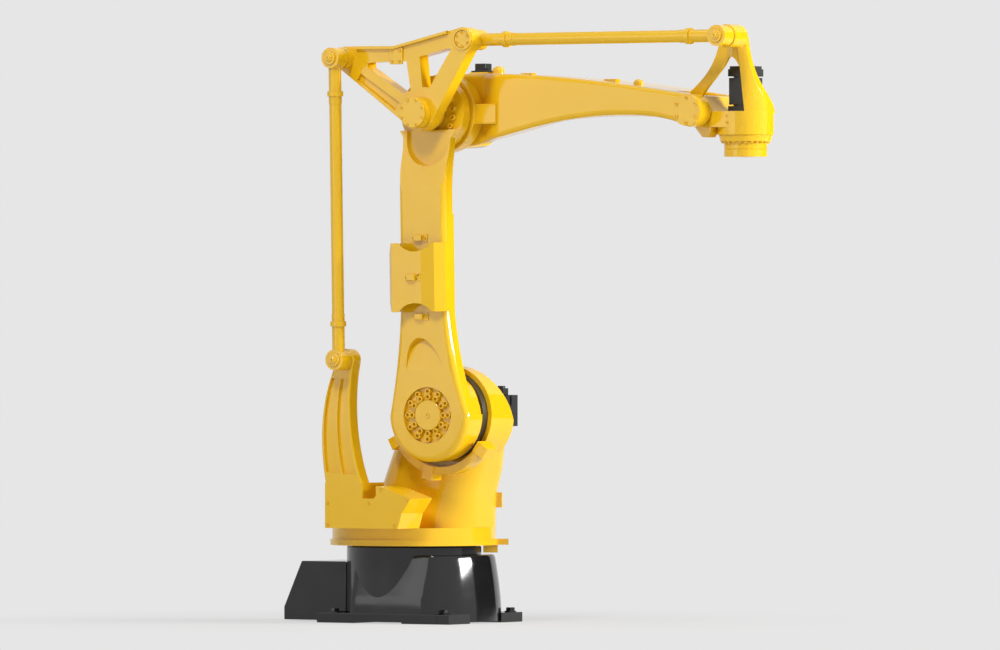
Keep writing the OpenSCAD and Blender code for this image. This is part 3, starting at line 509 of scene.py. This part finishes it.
# Dress cover: bent steel sheet in the arm's enamel, bolted over the passage for the cables.
# Three cable clips, pressed saddles of sheet, are held by two small screws each.
for node, edge_mm in (("dress_cover", 2.5), ("cable_clips", 2)):
    fettled(node, yellow_enamel, edge_mm)
tilt = math.atan2(shoulder_x - elbow_x, elbow_z - shoulder_z)
clip_screws = [(shoulder_x + x * math.cos(tilt) - z * math.sin(tilt), y,
                shoulder_z + x * math.sin(tilt) + z * math.cos(tilt))
               for y, z in ((-0.367, 0.410), (-0.367, 0.737), (-0.425, 0.5735)) for x in (-0.052, 0.003)]
fasteners("clip_screws", cap_screw(12, 6), clip_screws, (0, -1, 0), "lower_arm", yellow_enamel)

# Levelling linkage: two steel tubes screwed into forged eyes, and a cast triangle of bars on the elbow stub.
# A rim stands along the triangle's top bar.
# Socket screws hold the hub's cover, the front boss's cover and the clamp on the top bar.
for node, edge_mm in (("rear_rod", 0), ("rear_rod_eyes", 2.5), ("link_triangle", 4), ("triangle_clamp", 2),
                      ("triangle_caps", 2), ("triangle_pins", 2), ("top_rod", 0), ("top_rod_eyes", 2.5)):
    fettled(node, yellow_enamel, edge_mm)
hub_face, boss_face, clamp_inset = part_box("triangle_caps")[0][1], -0.4053, 0.013
clamp_low, clamp_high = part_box("triangle_clamp")
clamp_screws = [(x, clamp_low[1], z) for x in (clamp_low[0] + clamp_inset, clamp_high[0] - clamp_inset)
                for z in (clamp_low[2] + clamp_inset, clamp_high[2] - clamp_inset)]
triangle_screws = np.concatenate([circle((elbow_x, hub_face, elbow_z), 0.054, 8, 22.5),
                                  circle((0.500, boss_face, 2.431), 0.029, 6, 30), clamp_screws])
fasteners("triangle_screws", cap_screw(11, 5), triangle_screws, (0, -1, 0), "triangle", yellow_enamel)
elbow = (elbow_x, 0, elbow_z)
rim_top = np.array([(-300, 280), (-206, 279), (-113, 278), (20, 308), (150, 338)], float)
rim_low = rim_top - (0, 13)
rim = box_beam(*capped(rim_top, rim_low), -420, -404, 0, 3, 1, elbow)
put("triangle_rim", rim, "triangle", yellow_enamel)
pin_nut("rear_pin_nut", "triangle_pins", -0.082, 2.359, "triangle")


# Upper arm: a tapered iron box casting from the elbow's round end to the fork that holds the wrist.
# A stop block, pads and lifting knobs are cast on, and its motor and plug are bolted to the far side.
# Six screws hold the cover at each end of the wrist's pin.
def bezier(points, count, last=True):
    """Cubic Bezier curve: each of the four points weighted by its Bernstein polynomial of the parameter."""
    t = np.linspace(0, 1, count, endpoint=last)[:, None]
    p = np.asarray(points, float)
    return (1 - t) ** 3 * p[0] + 3 * t * (1 - t) ** 2 * p[1] + 3 * t ** 2 * (1 - t) * p[2] + t ** 3 * p[3]


def arc(centre, radius, start, stop, count):
    """Points on a circle from one angle in degrees to another."""
    turn = np.radians(np.linspace(start, stop, count))
    return np.stack([centre[0] + radius * np.cos(turn), centre[1] + radius * np.sin(turn)], -1)


def ease(x, start, stop):
    """Smooth step from 0 at start to 1 at stop: three times the square of the share less twice its cube."""
    t = np.clip((x - start) / (stop - start), 0, 1)
    return t * t * (3 - 2 * t)


def along(x, line):
    """The points of a line in X and Z at given places along X."""
    return np.stack([x, np.interp(x, *line.T)], -1)


def knob(radius):
    """Profile of a lifting knob: a straight stem under half an ellipse, four fifths as high as its radius."""
    stem, turn = 0.05, np.radians((0, 20, 40, 60, 80, 90))
    cap = np.stack([radius * np.cos(turn), 0.8 * radius * np.sin(turn)], -1)
    return np.concatenate([[(0, -stem), (radius, -stem)], cap])


arm_reach, tip_r, root_r, root_up = 1187, 68, 158, 8
fork_half, slot_half, root_half, slot_x, fork_seam = 205, 122, 150, 1087, 0.05
edge_r, slot_edge_r, root_x = 24, 5, 14
crown = bezier([(0, 166), (430, 172), (797, 126), (arm_reach, tip_r)], 60)
belly = np.concatenate([bezier([(root_x, -149), (230, -135), (490, -16), (850, -16)], 40, False),
                        bezier([(850, -16), (975, -16), (1085, -24), (arm_reach, -tip_r)], 20)])
beam_x = np.linspace(root_x, slot_x, 58)
beam_top = np.concatenate([arc((0, root_up), root_r, 180, 90, 18), along(beam_x, crown)])
beam_low = np.concatenate([arc((0, root_up), root_r, 180, 275, 18), along(beam_x, belly)])
beam_top, beam_low = capped(beam_top, beam_low, start=False)
run = beam_top[:, 0]
near_side = -root_half - (fork_half - root_half) * ease(run, 150, 262)
far_side = root_half + (fork_half - root_half) * ease(run, 480, 700)
far_lift = 48 * ease(run, -90, 90) * (1 - ease(run, 380, 830))
beam = box_beam(beam_top, beam_low, near_side, far_side, far_lift, edge_r, edge_r, elbow)

tine_x = np.linspace(slot_x + fork_seam, arm_reach, 14)
tip = arc((arm_reach, 0), tip_r, 84, 0, 14)
tine_top = np.concatenate([along(tine_x, crown), tip])
tine_low = np.concatenate([along(tine_x, belly), tip * (1, -1)])
tine = capped(tine_top, tine_low, stop=False)
tines = [box_beam(*tine, -fork_half, -slot_half, 0, edge_r, slot_edge_r, elbow),
         box_beam(*tine, slot_half, fork_half, 0, slot_edge_r, edge_r, elbow)]
stop_block = block((156, -216, -47), (262, -140, 38), 9, elbow)
cast_pads = [block(low, high, 6, elbow) for low, high in (((-45, 62, 120), (45, 142, 178)),
                                                          ((285, -58, 130), (342, -24, 168)),
                                                          ((696, -58, 100), (753, -24, 138)))]
knobs = [turned(knob(r), [(elbow_x + x, y, elbow_z + z)], (0, 0, 1), 32)
         for x, y, z, r in ((0.077, 0.100, 0.182, 0.026), (0.842, -0.020, 0.119, 0.022))]
arm_shape = joined(beam, *tines, stop_block, *cast_pads, *knobs)
arm_casting = put("upper_arm_casting", arm_shape, "upper_arm", yellow_enamel)
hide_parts("upper_arm")
for node, edge_mm in (("elbow_flange", 4), ("fork_covers", 1)):
    fettled(node, yellow_enamel, edge_mm)
for node in ("elbow_motor", "elbow_plug"):
    fettled(node, satin_nylon, 3.0)
wrist_x, wrist_z = 1.467, 2.129
fork_low, fork_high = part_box("fork_covers")
for side, y, way in (("near", fork_low[1], -1), ("far", fork_high[1], 1)):
    cover_ring = circle((wrist_x, y, wrist_z), 0.052, 6, 30)
    fasteners(side + "_fork_screws", cap_screw(14, 6), cover_ring, (0, way, 0), "upper_arm", yellow_enamel)
fasteners("elbow_motor_screws", cap_screw(9, 6), cap_corners("elbow_motor", elbow_x, elbow_z), (0, 1, 0),
          "upper_arm", satin_nylon)

# Wrist: the iron housing of the tool axis, its lug held in the fork, with the tool flange turning below.
# A windowed frame cast with it reaches up to the top rod's pin, and the servo stands in the window.
# Screws hold the lug's plate, and a ring of them under the housing holds the reducer.
for node, edge_mm in (("wrist_housing", 5), ("wrist_top_pin", 2), ("wrist_ring", 2), ("tool_flange", 2)):
    fettled(node, yellow_enamel, edge_mm)


def sail(cut, axis_x, radius, lean, left, inner_x, origin):
    """Shell that stands up from a round housing, in mm from the origin. At each (height, angle, depth) of the
    cut line its section follows a circle, whose centre leans to the front with height, from the angle left
    to the cut's angle. Then it goes straight back to the cut's depth and returns along the inner side."""
    z, stop, back = cut.T
    angle = np.radians(left + (stop - left)[:, None] * np.linspace(0, 1, 14))
    rim = np.stack([axis_x + radius * np.cos(angle), -lean * z[:, None] + radius * np.sin(angle)], -1)
    outer_back = np.stack([rim[:, -1, 0], back], -1)
    inner_back = np.stack([np.full_like(back, inner_x), back], -1)
    ring = np.concatenate([rim, outer_back[:, None], inner_back[:, None]], 1)
    points = np.concatenate([ring, np.broadcast_to(z[:, None, None], ring.shape[:2] + (1,))], -1)
    ends = [np.broadcast_to(points[k].mean(0), points[k].shape)[None] for k in (0, -1)]
    points = np.concatenate([ends[0], points, ends[1]]) / 1000 + np.asarray(origin)
    return points, tube_quads(*points.shape[:2])


wrist = (wrist_x, 0, wrist_z)
sail_cut = bezier([(-12, 12, 45), (70, -12, 10), (90, -46, -75), (300, -44, -115)], 30)
standing = sail(sail_cut, 160, 117, 0.2, -62, 218, wrist)
strut_front, strut_lean, strut_t, strut_edge_r = -88, 0.25, 18, 5
strut_outer = np.concatenate([[(-62, 22)], bezier([(-45, 80), (45, 143), (86, 190), (116, 262)], 20),
                              bezier([(160, 312), (205, 312), (222, 280), (227, 165)], 12)])
strut_inner = np.concatenate([[(-8, 8)], bezier([(8, 50), (60, 118), (124, 156), (160, 206)], 20),
                              bezier([(168, 214), (190, 232), (208, 200), (220, 150)], 12)])
strut_outer, strut_inner = capped(strut_outer, strut_inner)
strut_near = strut_front - strut_lean * np.clip((strut_outer + strut_inner)[:, 1] / 2, 40, 300)
strut = box_beam(strut_outer, strut_inner, strut_near, strut_near + strut_t, 0, strut_edge_r, strut_edge_r,
                 wrist)
top_pin_x, top_pin_z = 1.687, 2.431
boss_rows = [(0, 0), (0.045, 0), (0.048, 0.003), (0.048, 0.094), (0.045, 0.102), (0.036, 0.107), (0, 0.107)]
boss = turned(boss_rows, [(top_pin_x, -0.258, top_pin_z)], (0, 1, 0), 48)
wrist_casting = put("wrist_frame_casting", joined(standing, strut, boss), "wrist", yellow_enamel, 4)
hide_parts("wrist_frame")
for node in ("wrist_motor", "wrist_motor_plug"):
    fettled(node, satin_nylon, 3.0)
lug_screws = [(wrist_x + x, -0.116, wrist_z + z) for x in (0.053, 0.140) for z in (-0.022, -0.049)]
fasteners("lug_screws", cap_screw(10, 5), lug_screws, (0, -1, 0), "wrist", yellow_enamel)
reducer_ring = circle((1.627, 0, 2.002), 0.0965, 24, 0, (0, 1))
fasteners("ring_screws", cap_screw(10, 7), reducer_ring, (0, 0, -1), "wrist", yellow_enamel)
pin_nut("top_pin_nut", "wrist_top_pin", top_pin_x, top_pin_z, "wrist")
